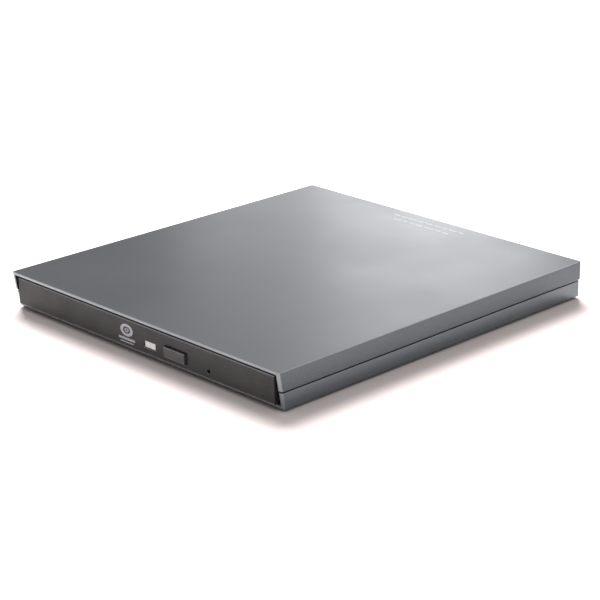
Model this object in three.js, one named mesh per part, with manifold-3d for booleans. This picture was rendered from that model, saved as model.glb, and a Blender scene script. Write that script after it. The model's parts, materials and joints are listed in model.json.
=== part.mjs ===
// A slim external optical drive: a two-shell case around a 9.5 mm tray-loading drive.
// Millimetres, +Z up, front towards -Y, right towards +X. The origin is on the surface that the
// feet stand on, below the middle of the case. Inside the device group, y is the distance behind
// the front edge of the top cover.
import * as THREE from 'three';
import { mergeVertices } from 'three/addons/utils/BufferGeometryUtils.js';
import Module from 'manifold-3d';

const wasm = await Module();
wasm.setup();

// Case
const WIDTH = 137;
const DEPTH = 150;
const HEIGHT = 14;
const FOOT_DROP = 0.7;
const FRONT_RAKE = 2.2 / 13.3;
const LOWER_INSET = 0.25;
const LOWER_TOP = 6.7;
const UPPER_BOTTOM = 7.08;
const CORNER_RADIUS = 0.9;
const EDGE_BEVEL = 0.4;
const LOWER_BEVEL = 0.35;
const TOP_WALL = 1.0;
const SIDE_WALL = 1.5;
const LOWER_WALL = 2.25;
const FLOOR_TOP = 2.0;
const CLEARANCE = 0.25;

// Feet and the screws under them
const FOOT_RADIUS = 5;
const FOOT_PLACES = {
  front_left: [-56, 13],
  front_right: [56, 13],
  rear_left: [-60, 142],
  rear_right: [60, 142],
};

// Drive body
const BODY_FRONT = 4.2;
const BODY_BACK = 130.2;
const BODY_HALF = 64;
const SHEET = 0.4;
const PAN_BOTTOM = 2.4;
const PAN_TOP = PAN_BOTTOM + SHEET;
const PAN_WALL_TOP = 11.4;
const LID_BOTTOM = 11.5;
const LID_TOP = 11.9;

// Tray and its rails
const TRAY_HALF = 61.6;
const TRAY_FRONT = 3;
const TRAY_BACK = 127.6;
const TRAY_BOTTOM = 3.6;
const TRAY_TOP = 11;
const TRAY_FLOOR_BOTTOM = 8.1;
const DISC_Y = 66;
const RECESS_RADIUS = 60.6;
const RECESS_FLOOR = 8.9;
const SMALL_RECESS_RADIUS = 40.5;
const SMALL_RECESS_FLOOR = 8.6;
const RAIL_LOW = 4.6;
const RAIL_HIGH = 7.4;
const RAIL_INNER = 60.2;
const RAIL_OUTER = 62.5;
const GUIDE_INNER = 61.9;
const GUIDE_OUTER = 63.4;

// Front panel of the tray
const BEZEL_HALF = 65.55;
const BEZEL_FACE = 0.6;
const BEZEL_THICKNESS = 2;
const BEZEL_BOTTOM = 2.2;
const BEZEL_TOP = 12.1;
const BUTTON_X = 19.05;
const BUTTON_Z = 6.2;
const BUTTON_WIDTH = 10.3;
const BUTTON_HEIGHT = 3.5;
const WINDOW_X = 5.95;
const WINDOW_Z = 5.87;
const WINDOW_WIDTH = 5.3;
const WINDOW_HEIGHT = 2.05;
const BUTTON_GAP = 0.45;
const WINDOW_GAP = 0.2;
const PINHOLE_X = 35.1;
const PINHOLE_Z = 4.9;

// Traverse: u runs from the disc's centre towards the front left corner, w towards the front right
const TRACK_ANGLE = -Math.PI * 3 / 4;
const SHAFT_W = 12.3;
const SHAFT_Z = 5.8;
const SLED_U = 23;
const LEAD_W = 17.5;
const LEAD_Z = 5.5;
const DAMPERS = [[-12, -20], [-12, 21], [50, -20.5]];

// Latch
const PIVOT = [52, 8.6];
const POST = [47.5, 16];
const LATCH_LOW = 4.3;
const LATCH_HIGH = 5.3;

// Board, flex cable and socket
const BOARD_LOW = 7.2;
const BOARD_HIGH = 7.9;
const REAR_BOARD_LOW = 4;
const REAR_BOARD_HIGH = 4.8;
const CABLE_X = 40;
const CABLE_WIDTH = 10;
const CABLE_SOCKET_HALF = 5.6;
const USB_X = 14;
const USB_Z = 6.8;

function finish(color, roughness, metalness) {
  return new THREE.MeshStandardMaterial({ color, roughness, metalness });
}

const shellPaint = finish(0x85868a, 0.42, 0.35);
const bezelPlastic = finish(0x4a4b4d, 0.6, 0);
const blackPlastic = finish(0x1c1c1e, 0.55, 0);
const clearPlastic = finish(0xe8eaea, 0.25, 0);
const plainSteel = finish(0xb4b6b8, 0.38, 0.9);
const polishedSteel = finish(0xcfd1d3, 0.2, 1);
const rubber = finish(0x202020, 0.9, 0);
const boardGreen = finish(0x1f5a38, 0.5, 0);
const chipBlack = finish(0x18191b, 0.45, 0);
const cableWhite = finish(0xd8d8d2, 0.5, 0);
const castAlloy = finish(0x9a9c9e, 0.45, 0.8);
const lensGlass = finish(0x7d8fb8, 0.05, 0.1);

const device = new THREE.Group();
device.position.y = -DEPTH / 2;
const traverse = new THREE.Group();
traverse.position.y = DISC_Y;
traverse.rotation.z = TRACK_ANGLE;
device.add(traverse);

function solid(geometry) {
  const bare = geometry.clone();
  bare.deleteAttribute('normal');
  bare.deleteAttribute('uv');
  const merged = mergeVertices(bare, 1e-4);
  return new wasm.Manifold(new wasm.Mesh({
    numProp: 3,
    vertProperties: new Float32Array(merged.attributes.position.array),
    triVerts: new Uint32Array(merged.index.array),
  }));
}

function geometryOf(body) {
  const mesh = body.getMesh();
  const geometry = new THREE.BufferGeometry();
  geometry.setAttribute('position', new THREE.BufferAttribute(mesh.vertProperties, 3));
  geometry.setIndex(new THREE.BufferAttribute(mesh.triVerts, 1));
  return geometry;
}

function cut(base, ...tools) {
  return tools.reduce((body, tool) => body.subtract(solid(tool)), base.subtract ? base : solid(base));
}

function join(base, ...extras) {
  return extras.reduce((body, extra) => body.add(solid(extra)), base.add ? base : solid(base));
}

function place(name, body, material, parent = device) {
  const mesh = new THREE.Mesh(body.isBufferGeometry ? body : geometryOf(body), material);
  mesh.name = name;
  parent.add(mesh);
}

// Primitive shapes

function box(x0, x1, y0, y1, z0, z1) {
  const geometry = new THREE.BoxGeometry(x1 - x0, y1 - y0, z1 - z0);
  return geometry.translate((x0 + x1) / 2, (y0 + y1) / 2, (z0 + z1) / 2);
}

function post(x, y, z0, z1, radius, sides = 16) {
  const geometry = new THREE.CylinderGeometry(radius, radius, z1 - z0, sides).rotateX(Math.PI / 2);
  return geometry.translate(x, y, (z0 + z1) / 2);
}

function rodAlongX(x0, x1, y, z, radius, sides = 12) {
  const geometry = new THREE.CylinderGeometry(radius, radius, x1 - x0, sides).rotateZ(Math.PI / 2);
  return geometry.translate((x0 + x1) / 2, y, z);
}

function roundedRectangle(x0, x1, y0, y1, radius) {
  const outline = new THREE.Shape();
  outline.absarc(x1 - radius, y0 + radius, radius, -Math.PI / 2, 0);
  outline.absarc(x1 - radius, y1 - radius, radius, 0, Math.PI / 2);
  outline.absarc(x0 + radius, y1 - radius, radius, Math.PI / 2, Math.PI);
  outline.absarc(x0 + radius, y0 + radius, radius, Math.PI, Math.PI * 3 / 2);
  return outline;
}

function polygon(points) {
  return new THREE.Shape(points.map(([x, y]) => new THREE.Vector2(x, y)));
}

function plate(outline, z0, z1, curveSegments = 4) {
  const options = { depth: z1 - z0, bevelEnabled: false, curveSegments };
  return new THREE.ExtrudeGeometry(outline, options).translate(0, 0, z0);
}

function softPlate(outlineInset, z0, z1, bevel, curveSegments = 3) {
  const options = { depth: z1 - z0 - 2 * bevel, bevelEnabled: true, bevelSize: bevel,
    bevelThickness: bevel, bevelSegments: 2, curveSegments };
  return new THREE.ExtrudeGeometry(outlineInset, options).translate(0, 0, z0 + bevel);
}

// A profile of [x, z] points, extruded from y0 to y1
function prismAlongY(points, y0, y1) {
  const options = { depth: y1 - y0, bevelEnabled: false };
  return new THREE.ExtrudeGeometry(polygon(points), options).rotateX(Math.PI / 2).translate(0, y1, 0);
}

// A profile of [y, z] points, extruded from x0 to x1
function prismAlongX(outline, x0, x1, curveSegments = 4) {
  const options = { depth: x1 - x0, bevelEnabled: false, curveSegments };
  const geometry = new THREE.ExtrudeGeometry(outline, options);
  return geometry.rotateX(Math.PI / 2).rotateZ(Math.PI / 2).translate(x0, 0, 0);
}

function turned(profile, x, y, sides = 24) {
  const points = profile.map(([radius, z]) => new THREE.Vector2(radius, z));
  return new THREE.LatheGeometry(points, sides).rotateX(Math.PI / 2).translate(x, y, 0);
}

function onTraverse(geometry) {
  return geometry.rotateZ(TRACK_ANGLE).translate(0, DISC_Y, 0);
}

// Case

// Leans the front of a case shell back towards the bottom, and leaves its rear face where it is
function rake(geometry) {
  const position = geometry.attributes.position;
  for (let i = 0; i < position.count; i++) {
    const setback = FRONT_RAKE * (HEIGHT - EDGE_BEVEL - position.getZ(i));
    position.setY(i, position.getY(i) + setback * (1 - position.getY(i) / DEPTH));
  }
  return geometry;
}

function shellBlock(inset, z0, z1, bevel) {
  const half = WIDTH / 2 - inset - bevel;
  const outline = roundedRectangle(-half, half, inset + bevel, DEPTH - inset - bevel, CORNER_RADIUS - bevel);
  return rake(softPlate(outline, z0, z1, bevel));
}

function usbOpening() {
  return box(USB_X - 4.6, USB_X + 4.6, 140, DEPTH + 1, USB_Z - 2.35, USB_Z + 2.35);
}

function upperCover() {
  const inner = WIDTH / 2 - SIDE_WALL;
  const hollow = box(-inner, inner, -5, DEPTH - SIDE_WALL, 0, HEIGHT - TOP_WALL);
  let body = cut(shellBlock(0, UPPER_BOTTOM, HEIGHT, EDGE_BEVEL), hollow, usbOpening());
  for (const name of ['rear_left', 'rear_right']) {
    const [x, y] = FOOT_PLACES[name];
    body = join(body, post(x, y, 5, HEIGHT - TOP_WALL + 0.2, 2.6));
    body = cut(body, post(x, y, 4.9, 10.5, 1.1, 10));
  }
  place('upper_cover', body, shellPaint);
}

function lowerCover() {
  const inner = WIDTH / 2 - LOWER_INSET - LOWER_WALL;
  const back = DEPTH - LOWER_INSET - LOWER_WALL;
  const hollow = box(-inner, inner, -5, back, FLOOR_TOP, HEIGHT);
  const wideMouth = box(-inner - 0.9, inner + 0.9, -5, 6, FLOOR_TOP, HEIGHT);
  let body = cut(shellBlock(LOWER_INSET, FOOT_DROP, LOWER_TOP, LOWER_BEVEL), hollow, wideMouth);
  const tongueTop = 8.4;
  const tongue = 0.7;
  body = join(body, box(-inner - tongue, inner + tongue, back - 0.001, back + tongue, 6.3, tongueTop));
  for (const side of [-1, 1]) {
    const x = side * (inner + tongue / 2);
    body = join(body, box(x - tongue / 2, x + tongue / 2, 8, back + tongue / 2, 6.3, tongueTop));
  }
  for (const y of [32, 75, 112]) {
    body = join(body, box(-50, 50, y, y + 1.2, FLOOR_TOP - 0.1, 2.3));
  }
  for (const [name, [x, y]] of Object.entries(FOOT_PLACES)) {
    const rear = name.startsWith('rear');
    const bossTop = rear ? 4.7 : 2.3;
    const seat = rear ? 3 : 1.75;
    body = cut(
      join(body, post(x, y, 1.5, bossTop, 3.6)),
      post(x, y, 0, 1.2, FOOT_RADIUS + 0.3, 24),
      post(x, y, 1, seat, 2.3),
      post(x, y, 1, 5, 1.3, 12),
    );
  }
  place('lower_cover', cut(body, usbOpening()), shellPaint);
}

function feet() {
  const profile = [[0, 0], [4.6, 0], [FOOT_RADIUS, 0.4], [FOOT_RADIUS, 1.1], [0, 1.1]];
  for (const [name, [x, y]] of Object.entries(FOOT_PLACES)) {
    place(`foot_${name}`, turned(profile, x, y), rubber);
  }
}

function coverScrews() {
  for (const [name, [x, y]] of Object.entries(FOOT_PLACES)) {
    const rear = name.startsWith('rear');
    const head = rear ? 2.2 : 1.25;
    const seat = rear ? 2.9 : 1.65;
    const tip = rear ? 9.6 : 3.3;
    const profile = [[0, head], [1.9, head], [1.9, seat], [0.85, seat], [0.85, tip], [0, tip]];
    const slots = [box(x - 1.1, x + 1.1, y - 0.2, y + 0.2, head - 1, head + 0.3),
      box(x - 0.2, x + 0.2, y - 1.1, y + 1.1, head - 1, head + 0.3)];
    place(`cover_screw_${name}`, cut(turned(profile, x, y, 12), ...slots), plainSteel);
  }
}

// Drive body

function driveBase() {
  const wall = BODY_HALF - SHEET;
  let body = cut(
    box(-BODY_HALF, BODY_HALF, BODY_FRONT, BODY_BACK, PAN_BOTTOM, PAN_WALL_TOP),
    box(-wall, wall, BODY_FRONT - 1, BODY_BACK - SHEET, PAN_TOP, HEIGHT),
    box(33, 56, BODY_BACK - 1, BODY_BACK + 1, 4.6, 8.8),
  );
  for (const name of ['front_left', 'front_right']) {
    const [x, y] = FOOT_PLACES[name];
    body = join(body, post(x, y, PAN_BOTTOM + 0.1, 3.4, 1.9, 12));
    body = cut(body, post(x, y, PAN_BOTTOM - 1, 4, 1.1, 10));
  }
  place('drive_base', body, plainSteel);
}

function driveLid() {
  const outline = roundedRectangle(-BODY_HALF, BODY_HALF, BODY_FRONT, BODY_BACK, 1);
  const skirt = box(-50, 50, BODY_BACK - 0.8, BODY_BACK - 0.5, 10.2, LID_BOTTOM + 0.1);
  place('drive_lid', join(plate(outline, LID_BOTTOM, LID_TOP), skirt), plainSteel);
}

function railGuides() {
  for (const [name, side] of [['left', -1], ['right', 1]]) {
    const web = GUIDE_OUTER - 0.65;
    const profile = [[GUIDE_INNER, 3.4], [GUIDE_OUTER, 3.4], [GUIDE_OUTER, 8.6], [GUIDE_INNER, 8.6],
      [GUIDE_INNER, RAIL_HIGH + CLEARANCE], [web, RAIL_HIGH + CLEARANCE],
      [web, RAIL_LOW - CLEARANCE], [GUIDE_INNER, RAIL_LOW - CLEARANCE]];
    const mirrored = profile.map(([x, z]) => [side * x, z]);
    place(`rail_guide_${name}`, prismAlongY(side > 0 ? mirrored : mirrored.reverse(), 5, 125), blackPlastic);
  }
}

function slideRails() {
  for (const [name, side] of [['left', -1], ['right', 1]]) {
    const profile = [[RAIL_INNER, RAIL_LOW], [RAIL_OUTER, RAIL_LOW], [RAIL_OUTER, RAIL_HIGH],
      [RAIL_INNER, RAIL_HIGH], [RAIL_INNER, 6.6], [61.2, 6.6], [61.2, 5.4], [RAIL_INNER, 5.4]];
    const mirrored = profile.map(([x, z]) => [side * x, z]);
    place(`slide_rail_${name}`, prismAlongY(side > 0 ? mirrored : mirrored.reverse(), 6, 126), plainSteel);
  }
}

function latchPost() {
  const low = PAN_TOP + 0.05;
  const profile = [[0, low], [2, low], [2, 3.2], [1.2, 3.4], [1.2, 5.4], [1, 5.6], [0, 5.6]];
  place('latch_post', turned(profile, ...POST, 16), polishedSteel);
}

// The rear board carries the drive's plug and, underneath, the socket of the ribbon cable
function rearBoard() {
  const left = CABLE_X - CABLE_SOCKET_HALF;
  const right = CABLE_X + CABLE_SOCKET_HALF;
  const body = join(
    box(34, 60, 119.6, 129.4, REAR_BOARD_LOW, REAR_BOARD_HIGH),
    box(34.5, 54.5, 124.5, 130, REAR_BOARD_HIGH - 0.1, 8.4),
    box(left, right, 119.9, 123, PAN_TOP + 0.1, REAR_BOARD_LOW + 0.1),
  );
  place('rear_board', body, boardGreen);
}

function bridgeBoard() {
  const outline = roundedRectangle(2, 55.5, 131.2, 147, 0.8);
  place('bridge_board', plate(outline, REAR_BOARD_LOW, REAR_BOARD_HIGH), boardGreen);
  const plug = cut(box(34.5, 54.5, 130.4, 136.5, 4.9, 8.4), box(35.5, 53.5, 130, 133, 6, 7.4));
  place('drive_plug', plug, blackPlastic);
  place('bridge_chip', box(24, 31, 136, 143, 4.9, 5.9), chipBlack);
}

function usbSocket() {
  const outer = polygon([[-3.6, -1.95], [3.6, -1.95], [3.85, -0.9],
    [3.85, 1.95], [-3.85, 1.95], [-3.85, -0.9]]);
  const inner = polygon([[-3.25, -1.6], [3.25, -1.6], [3.5, -0.8],
    [3.5, 1.6], [-3.5, 1.6], [-3.5, -0.8]]);
  const shell = plate(outer, -148.9, -140).rotateX(Math.PI / 2).translate(USB_X, 0, USB_Z + 0.05);
  const hole = plate(inner, -149.5, -142).rotateX(Math.PI / 2).translate(USB_X, 0, USB_Z + 0.05);
  const tongue = box(USB_X - 1.9, USB_X + 1.9, 141.5, 148, USB_Z - 0.2, USB_Z + 0.5);
  place('usb_socket', join(cut(shell, hole), tongue), polishedSteel);
}

// The ribbon lies on the pan, folds back on itself, and climbs to the tray's board
function flexCable() {
  const thickness = 0.12;
  const low = 2.9;
  const high = 3.4;
  const fold = 26;
  const radius = (high - low) / 2;
  const outline = new THREE.Shape();
  outline.moveTo(119.7, low);
  outline.lineTo(fold, low);
  outline.absarc(fold, low + radius, radius, -Math.PI / 2, Math.PI / 2, true);
  outline.lineTo(88, high);
  outline.lineTo(99.7, 6.3);
  outline.lineTo(99.7, 6.3 - thickness);
  outline.lineTo(88.1, high - thickness);
  outline.lineTo(fold, high - thickness);
  outline.absarc(fold, low + radius, radius - thickness, Math.PI / 2, -Math.PI / 2, false);
  outline.lineTo(119.7, low + thickness);
  const left = CABLE_X - CABLE_WIDTH / 2;
  place('flex_cable', prismAlongX(outline, left, left + CABLE_WIDTH, 5), cableWhite);
}

// Tray

function trayOutline(inset) {
  const half = TRAY_HALF - inset;
  const back = TRAY_BACK - inset;
  const slope = 0.64;
  return polygon([[-half, TRAY_FRONT + inset], [half, TRAY_FRONT + inset], [half, 99.7 - inset * slope],
    [18 - inset * slope, back], [-half + 4, back], [-half, back - 4]]);
}

function slotOutline(radius, halfWidth, end) {
  const outline = new THREE.Shape();
  const start = Math.asin(halfWidth / radius);
  outline.absarc(0, 0, radius, start, Math.PI * 2 - start);
  outline.lineTo(end - 3, -halfWidth);
  outline.lineTo(end, -halfWidth + 3);
  outline.lineTo(end, halfWidth - 3);
  outline.lineTo(end - 3, halfWidth);
  return outline;
}

function trayFrame() {
  const wall = 3;
  let body = cut(
    plate(trayOutline(0), TRAY_BOTTOM, TRAY_TOP),
    post(0, DISC_Y, RECESS_FLOOR, HEIGHT, RECESS_RADIUS, 72),
    post(0, DISC_Y, SMALL_RECESS_FLOOR, HEIGHT, SMALL_RECESS_RADIUS, 48),
    plate(trayOutline(wall), TRAY_BOTTOM - 1, TRAY_FLOOR_BOTTOM),
    box(-50, 56, TRAY_FRONT + 2, TRAY_FRONT + wall + 1, TRAY_BOTTOM - 1, TRAY_FLOOR_BOTTOM),
    onTraverse(plate(slotOutline(17.5, 16, 65), 5, 9.1, 10)),
    box(45.3, 49.7, 95, 125, 3, 5.9),
  );
  for (const side of [-1, 1]) {
    const inner = RAIL_INNER - CLEARANCE;
    const low = RAIL_LOW - CLEARANCE;
    const high = RAIL_HIGH + CLEARANCE;
    const scoop = post(side * 44, DISC_Y - side * 44, RECESS_FLOOR, HEIGHT, 10, 24);
    const groove = side > 0 ? box(inner, 65, 5.5, 130, low, high) : box(-65, -inner, 5.5, 130, low, high);
    const lugSlot = box(side * 43 - 3.2, side * 43 + 3.2, 0, 5.5, 4.8, 6.2);
    body = cut(body, groove, scoop, lugSlot);
  }
  body = cut(
    body,
    box(BUTTON_X - 1.65, BUTTON_X + 1.65, 0, 7, BUTTON_Z - 1.1, BUTTON_Z + 1.1),
    box(WINDOW_X - 1.75, WINDOW_X + 1.75, 0, 7, WINDOW_Z - 0.9, WINDOW_Z + 0.9),
    post(PINHOLE_X, 0, -7, 0, 1, 10).rotateX(Math.PI / 2).translate(0, 0, PINHOLE_Z),
  );
  body = join(body, post(...PIVOT, 3.9, TRAY_FLOOR_BOTTOM + 0.2, 0.8, 12));
  for (const [u, w] of DAMPERS) {
    body = join(body, onTraverse(post(u, w, 7.2, TRAY_FLOOR_BOTTOM + 0.2, 2.6)));
    body = cut(body, onTraverse(post(u, w, 7.1, RECESS_FLOOR - 0.5, 1.1, 10)));
  }
  place('tray_frame', body, blackPlastic);
}

function trayBezel() {
  const outline = polygon([[BEZEL_FACE + 0.35, BEZEL_BOTTOM], [BEZEL_FACE + BEZEL_THICKNESS, BEZEL_BOTTOM],
    [BEZEL_FACE + BEZEL_THICKNESS, BEZEL_TOP], [BEZEL_FACE + 0.3, BEZEL_TOP], [BEZEL_FACE, BEZEL_TOP - 0.3],
    [BEZEL_FACE, BEZEL_BOTTOM + 0.35]]);
  let body = join(prismAlongX(outline, -BEZEL_HALF, BEZEL_HALF));
  for (const side of [-1, 1]) {
    body = join(body, box(side * 43 - 3, side * 43 + 3, 2.5, 4.7, 5, 6));
  }
  const buttonX = BUTTON_WIDTH / 2 + BUTTON_GAP;
  const buttonZ = BUTTON_HEIGHT / 2 + BUTTON_GAP;
  const windowX = WINDOW_WIDTH / 2 + WINDOW_GAP;
  const windowZ = WINDOW_HEIGHT / 2 + WINDOW_GAP;
  const pinhole = new THREE.CylinderGeometry(0.75, 0.75, 6, 12).translate(PINHOLE_X, 0, PINHOLE_Z);
  place('tray_bezel', cut(
    body,
    box(BUTTON_X - buttonX, BUTTON_X + buttonX, 0, 3, BUTTON_Z - buttonZ, BUTTON_Z + buttonZ),
    box(WINDOW_X - windowX, WINDOW_X + windowX, 0, 3, WINDOW_Z - windowZ, WINDOW_Z + windowZ),
    pinhole,
  ), bezelPlastic);
}

function ejectButton() {
  const half = BUTTON_WIDTH / 2;
  const tall = BUTTON_HEIGHT / 2;
  const bevel = 0.2;
  const face = 0.3;
  const left = BUTTON_X - half + bevel;
  const right = BUTTON_X + half - bevel;
  const outline = roundedRectangle(left, right, BUTTON_Z - tall + bevel, BUTTON_Z + tall - bevel, 0.3);
  const cap = softPlate(outline, -2, -face, bevel).rotateX(Math.PI / 2);
  const stem = box(BUTTON_X - 1.25, BUTTON_X + 1.25, 1.8, 4.2, BUTTON_Z - 0.7, BUTTON_Z + 0.7);
  place('eject_button', join(cap, stem), bezelPlastic);
}

function lightGuide() {
  const halfWidth = WINDOW_WIDTH / 2;
  const halfHeight = WINDOW_HEIGHT / 2;
  place('light_guide', join(
    box(WINDOW_X - halfWidth, WINDOW_X + halfWidth, 0.9, 2.8, WINDOW_Z - halfHeight, WINDOW_Z + halfHeight),
    box(WINDOW_X - 1.45, WINDOW_X + 1.45, 2.7, 6.2, WINDOW_Z - 0.6, WINDOW_Z + 0.6),
  ), clearPlastic);
}

function mainBoard() {
  const outline = polygon([[0, 5.8], [31, 5.8], [31, 24], [56, 24], [56, 96], [22, 117], [0, 118],
    [0, 102], [30, 72], [30, 27], [0, 14]]);
  place('main_board', plate(outline, BOARD_LOW, BOARD_HIGH), boardGreen);
  place('controller_chip', box(32, 44, 58, 70, 5.9, BOARD_LOW - 0.1), chipBlack);
  const left = CABLE_X - CABLE_SOCKET_HALF;
  const right = CABLE_X + CABLE_SOCKET_HALF;
  place('flex_connector', box(left, right, 99.9, 103.5, 5.5, BOARD_LOW - 0.1), cableWhite);
  place('eject_switch', join(
    box(BUTTON_X - 2.8, BUTTON_X + 2.8, 5.9, 8.7, 5.2, BOARD_LOW - 0.1),
    box(BUTTON_X - 1, BUTTON_X + 1, 5.25, 6, BUTTON_Z - 0.5, BUTTON_Z + 0.5),
  ), plainSteel);
}

// Latch

function latchLever() {
  const arm = polygon([[50.9, 7.2], [53.4, 7.2], [53.4, 9.8], [51.9, 20.2], [49.1, 20.2], [49.1, 18.1],
    [50.3, 17.9], [50.8, 9.9], [34.4, 9.9], [34.4, 8.2], [50.6, 8.2]]);
  const hole = post(...PIVOT, LATCH_LOW - 1, LATCH_HIGH + 1, 1.05, 12);
  place('latch_lever', cut(plate(arm, LATCH_LOW, LATCH_HIGH), hole), blackPlastic);
}

function solenoid() {
  const bore = rodAlongX(38, 45, 13.2, 4.8, 0.95);
  place('solenoid', cut(box(34.5, 44.4, 11.6, 18.5, 3.9, 7), bore), castAlloy);
  place('solenoid_plunger', rodAlongX(39.5, 50, 13.2, 4.8, 0.6), polishedSteel);
}

// Traverse, in its own u, w frame

function traverseFrame() {
  const outline = polygon([[-16, -18], [60, -18], [66, -12], [66, 15], [58, 23], [-16, 23]]);
  const window = polygon([[14, -15.6], [59, -15.6], [63, -11.6], [63, 13.5], [56, 20.6], [14, 20.6]]);
  let body = join(plate(outline, 5, 6.6), ...DAMPERS.map(([u, w]) => post(u, w, 5, 6.6, 4.6)));
  body = cut(
    body,
    plate(window, 4, 7),
    post(0, 0, 4, 7, 12.2, 32),
    box(2, 14.5, 14.6, 20.6, 4, 7),
    ...DAMPERS.map(([u, w]) => post(u, w, 4, 7, 2.6)),
  );
  for (const w of [-SHAFT_W, SHAFT_W]) {
    body = cut(body, rodAlongX(12.6, 64.6, w, SHAFT_Z, 1.15));
  }
  const coverPosts = [[-11.4, -11.4], [-11.4, 11.4], [63.8, -5], [63.8, 5]];
  body = join(body, ...coverPosts.map(([u, w]) => post(u, w, 6.5, 8.3, 0.7, 8)));
  place('traverse_frame', body, castAlloy, traverse);
}

function traverseCover() {
  const outline = slotOutline(17.1, 15.6, 64.6);
  place('traverse_cover', cut(
    plate(outline, 8.4, 8.7, 10),
    post(0, 0, 8, 9, 15.2, 36),
    plate(roundedRectangle(17, 61.5, -8, 8, 2), 8, 9),
  ), plainSteel, traverse);
}

function dampers() {
  const grommet = [[1.15, 4.6], [3.2, 4.6], [3.2, 4.9], [2.4, 4.9], [2.4, 6.7], [3.2, 6.7], [3.2, 7],
    [1.15, 7], [1.15, 4.6]];
  const screw = [[0, 4], [2.1, 4], [2.1, 4.5], [0.9, 4.5], [0.9, 8.1], [0, 8.1]];
  DAMPERS.forEach(([u, w], i) => {
    const slot = box(u - 1.2, u + 1.2, w - 0.2, w + 0.2, 3, 4.25);
    place(`damper_${i + 1}`, turned(grommet, u, w, 14), rubber, traverse);
    place(`damper_screw_${i + 1}`, cut(turned(screw, u, w, 12), slot), polishedSteel, traverse);
  });
}

function guideShafts() {
  place('guide_shaft_main', rodAlongX(12.9, 64.3, SHAFT_W, SHAFT_Z, 0.9, 14), polishedSteel, traverse);
  place('guide_shaft_sub', rodAlongX(12.9, 64.3, -SHAFT_W, SHAFT_Z, 0.7, 12), polishedSteel, traverse);
}

function spindle() {
  const base = [[1.45, 4.2], [12.6, 4.2], [12.6, 4.8], [2.6, 4.8], [2.6, 7], [1.45, 7], [1.45, 4.2]];
  const rotor = [[0, 5], [1.2, 5], [1.2, 7.3], [10.4, 7.3], [10.4, 5.3], [11.4, 5.3], [11.4, 7.9], [0, 7.9]];
  const turntable = [[0, 8], [6, 8], [14.4, 8.5], [14.4, 9.3], [7.4, 9.3], [7.35, 10.5], [6.6, 11],
    [0, 11.1]];
  const pad = [[11, 9.35], [14.1, 9.35], [14.1, 9.55], [11, 9.55], [11, 9.35]];
  const ball = { radius: 1.2, orbit: 6.4, z: 10 };
  place('spindle_base', turned(base, 0, 0, 28), plainSteel, traverse);
  place('spindle_rotor', turned(rotor, 0, 0, 28), polishedSteel, traverse);
  place('turntable_pad', turned(pad, 0, 0, 28), rubber, traverse);
  let hub = join(turned(turntable, 0, 0, 32));
  for (let i = 0; i < 3; i++) {
    const angle = i * Math.PI * 2 / 3;
    const centre = [ball.orbit * Math.cos(angle), ball.orbit * Math.sin(angle), ball.z];
    hub = cut(hub, new THREE.SphereGeometry(ball.radius + 0.15, 12, 8).translate(...centre));
    place(`chucking_ball_${i + 1}`, new THREE.SphereGeometry(ball.radius, 12, 8).translate(...centre),
      polishedSteel, traverse);
  }
  place('turntable', hub, blackPlastic, traverse);
}

function spindleStator() {
  const teeth = 9;
  const outline = new THREE.Shape();
  for (let i = 0; i < teeth; i++) {
    const middle = i * Math.PI * 2 / teeth;
    for (const [radius, turn] of [[4.6, -0.17], [9.4, -0.24], [9.4, 0.24], [4.6, 0.17]]) {
      const angle = middle + turn;
      const point = [radius * Math.cos(angle), radius * Math.sin(angle)];
      if (i === 0 && turn === -0.17) outline.moveTo(...point);
      else outline.lineTo(...point);
    }
  }
  outline.closePath();
  place('spindle_stator', cut(plate(outline, 5.2, 6.9), post(0, 0, 5, 7, 2.8, 16)), castAlloy, traverse);
}

function stepperAndLeadScrew() {
  place('stepper_motor', rodAlongX(2.5, 12, LEAD_W, LEAD_Z, 2.5, 20), plainSteel, traverse);
  place('lead_screw', rodAlongX(12.2, 55.9, LEAD_W, LEAD_Z, 0.9, 12), polishedSteel, traverse);
  const bracket = cut(
    join(
      box(12.3, 56, 16, 19, 3.4, 3.8),
      box(12.3, 12.8, 15.4, 19.6, 3.4, 7),
      box(55.5, 56, 15.4, 19.6, 3.4, 7),
    ),
    rodAlongX(10, 58, LEAD_W, LEAD_Z, 1.15),
  );
  place('lead_screw_bracket', bracket, plainSteel, traverse);
}

function sled() {
  const u = SLED_U;
  const outline = polygon([[u - 5.5, -14], [u + 2.5, -14], [u + 5.5, -11], [u + 5.5, 12], [u + 2.5, 15],
    [u - 2.5, 15], [u - 2.5, 16.3], [u - 5.5, 16.3]]);
  const body = cut(
    plate(outline, 4.4, 7.2),
    rodAlongX(u - 8, u + 8, SHAFT_W, SHAFT_Z, 1.1),
    box(u - 8, u + 8, -15, -11.2, SHAFT_Z - 0.95, SHAFT_Z + 0.95),
    box(u - 3.2, u + 4.4, -5.6, 5.6, 4.9, 8),
    box(u - 6, u + 6, 13.6, 17, 6.3, 8),
  );
  place('sled', body, castAlloy, traverse);
  const yoke = join(
    box(u - 2.4, u + 4, -5.3, 5.3, 5, 5.3),
    box(u - 1.4, u + 3, -5.3, -4, 5.2, 7.4),
    box(u - 1.4, u + 3, 4, 5.3, 5.2, 7.4),
  );
  place('actuator_yoke', yoke, plainSteel, traverse);
}

function lens() {
  const u = SLED_U + 1;
  const holder = cut(box(u - 2.8, u + 2.8, -3.2, 3.2, 6, 7.6), post(u, 0, 5, 9, 2.3, 16));
  const profile = [[0, 6.9], [1.6, 7.1], [2.05, 7.3], [2.05, 7.7], [1.5, 8], [0.8, 8.16], [0, 8.2]];
  place('lens_holder', holder, blackPlastic, traverse);
  place('objective_lens', turned(profile, u, 0, 16), lensGlass, traverse);
}

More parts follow.
